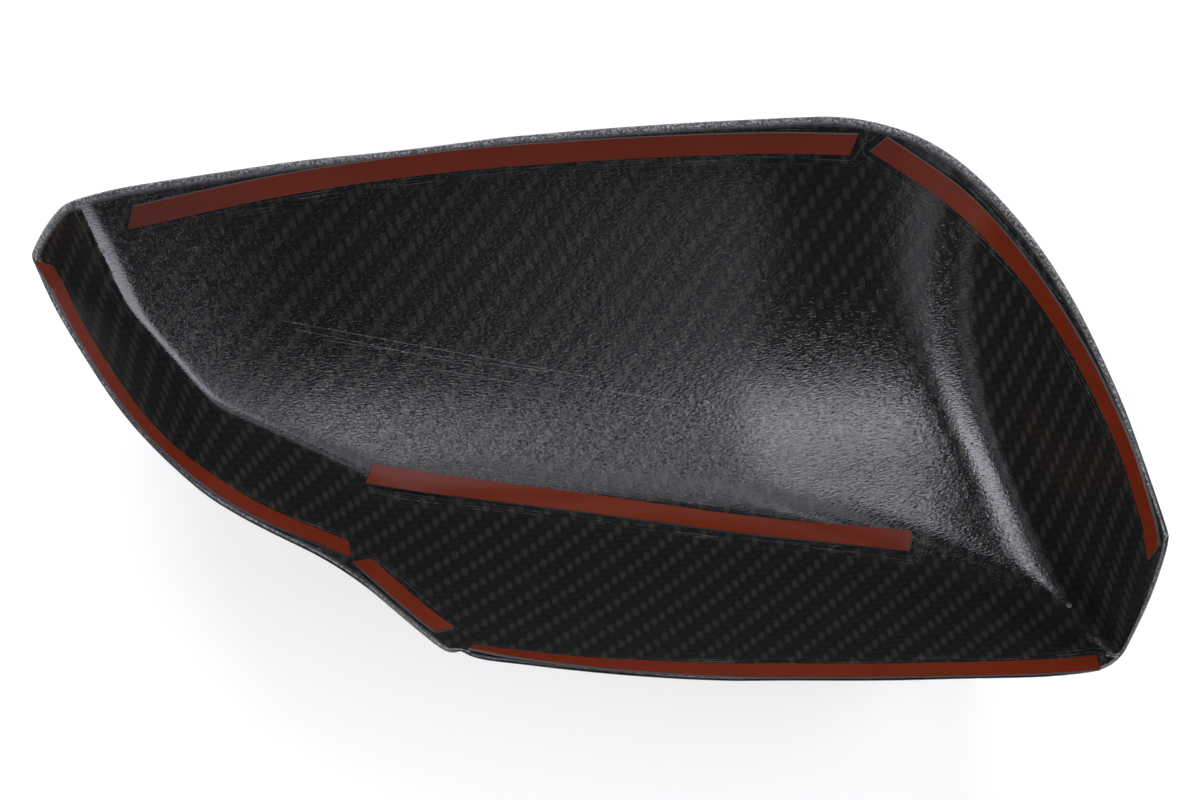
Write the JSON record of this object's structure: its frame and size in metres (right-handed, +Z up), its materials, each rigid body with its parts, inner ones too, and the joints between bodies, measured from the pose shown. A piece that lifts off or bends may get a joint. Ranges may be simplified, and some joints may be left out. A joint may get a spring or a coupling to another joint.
{
  "type": "wing mirror cover",
  "caption": "Right-hand stick-on wing mirror cover: a thin glossy shell of twill-woven carbon laminate with red-lined adhesive foam strips along its inside edges.",
  "frame": {"origin": "on the ground, under the middle of the cover's bounding box, as it lies on its outer face with the hollow upwards", "axes": "+X towards the outboard end, +Y towards the cover's top edge, +Z up, out of the hollow"},
  "size_m": [0.2424, 0.123, 0.0603],
  "materials": {
    "woven_laminate": "2x2 twill carbon fibre in clear epoxy, polished gloss outside, bag-side satin inside, sanded trimmed edge",
    "foam_tape": "matte grey adhesive foam",
    "liner_film": "smooth translucent red-brown release film, satin"
  },
  "bodies": {
    "root": {"cover_shell": "woven_laminate", "top_tape": "foam_tape", "outboard_tape": "foam_tape", "inboard_tape": "foam_tape", "notch_tape": "foam_tape", "bottom_tape": "foam_tape", "crease_tape": "foam_tape", "top_liner": "liner_film", "outboard_liner": "liner_film", "inboard_liner": "liner_film", "notch_liner": "liner_film", "bottom_liner": "liner_film", "crease_liner": "liner_film"}
  },
  "joints": []
}
